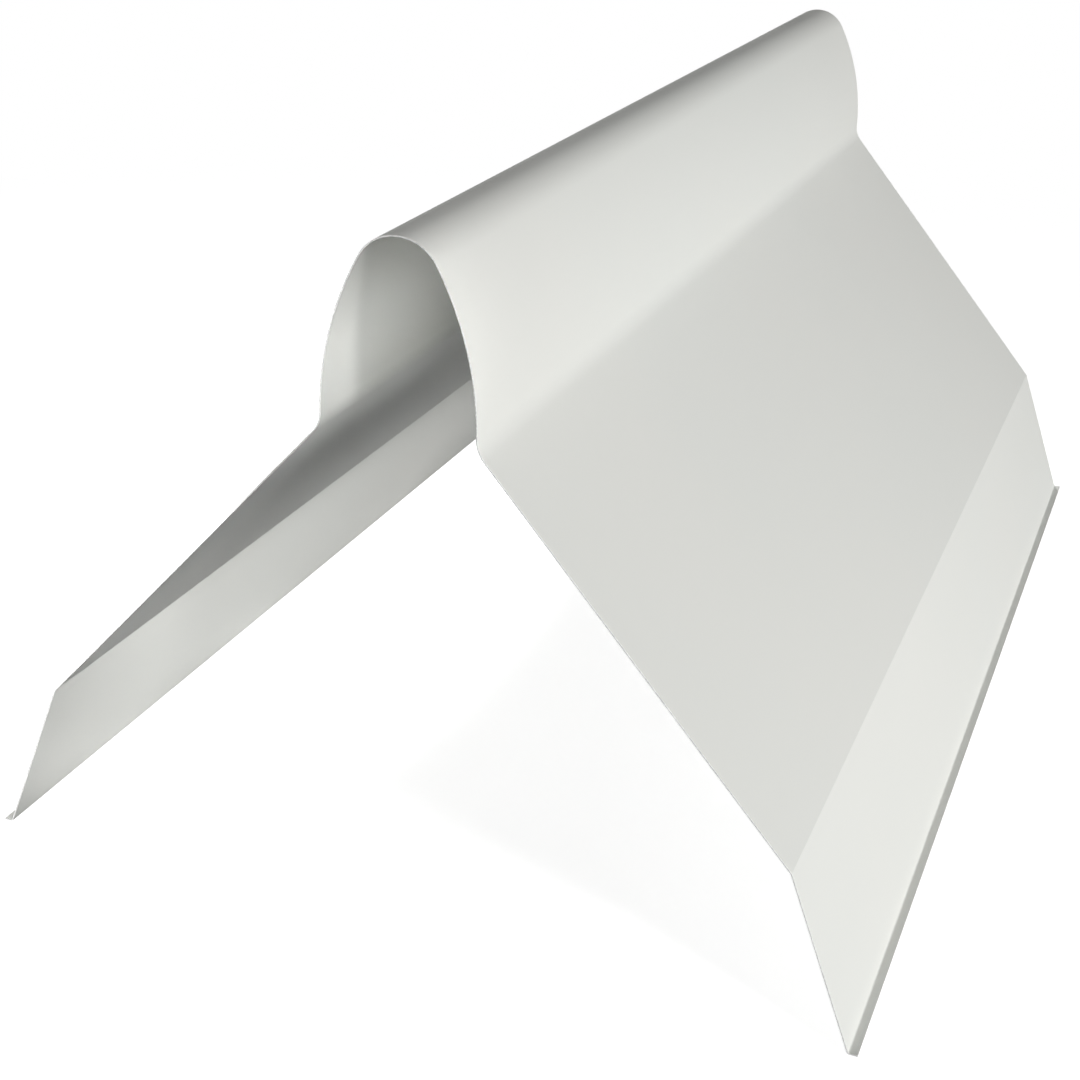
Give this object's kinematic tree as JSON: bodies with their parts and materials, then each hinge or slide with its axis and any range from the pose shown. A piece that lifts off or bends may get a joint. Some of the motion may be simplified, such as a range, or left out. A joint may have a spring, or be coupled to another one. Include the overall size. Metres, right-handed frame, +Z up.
{
  "type": "roof ridge cap",
  "caption": "Folded painted-steel roof ridge cap: rounded roll along the top, sloping wings, steeper flanges and small out-turned lips; covers the joint where roof slopes meet.",
  "frame": {"origin": "on the ground plane, midway between the lips and midway along the length", "axes": "+X across the ridge, +Y along the ridge, +Z up through the roll"},
  "size_m": [0.3086, 0.49, 0.233],
  "materials": {
    "paint": "satin off-white coil coating on thin steel sheet"
  },
  "bodies": {
    "root": {"ridge_cap": "paint"}
  },
  "joints": []
}
